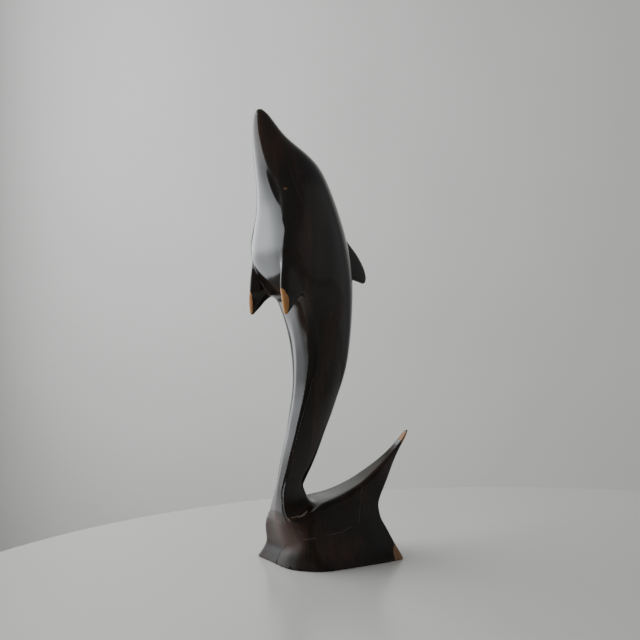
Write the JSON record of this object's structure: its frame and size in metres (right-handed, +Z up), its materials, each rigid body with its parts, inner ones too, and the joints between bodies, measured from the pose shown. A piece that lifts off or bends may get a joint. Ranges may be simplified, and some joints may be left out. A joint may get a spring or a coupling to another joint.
{
  "type": "wooden dolphin sculpture",
  "caption": "Carved dark hardwood dolphin standing upright on its tail, with pectoral and back fins, a raised fluke and a flared foot in one piece.",
  "frame": {"origin": "centre of the bounding box's underside, on the plane the foot rests on", "axes": "+Z up, +X towards the dolphin's back and the raised fluke, -X towards its belly and pectoral fins, -Y the side nearer the camera"},
  "size_m": [0.127, 0.0644, 0.3051],
  "materials": {
    "wood": "dark dense hardwood, carved and polished to a gloss, with pale sapwood at the tips"
  },
  "bodies": {
    "root": {"dolphin": "wood"}
  },
  "joints": []
}
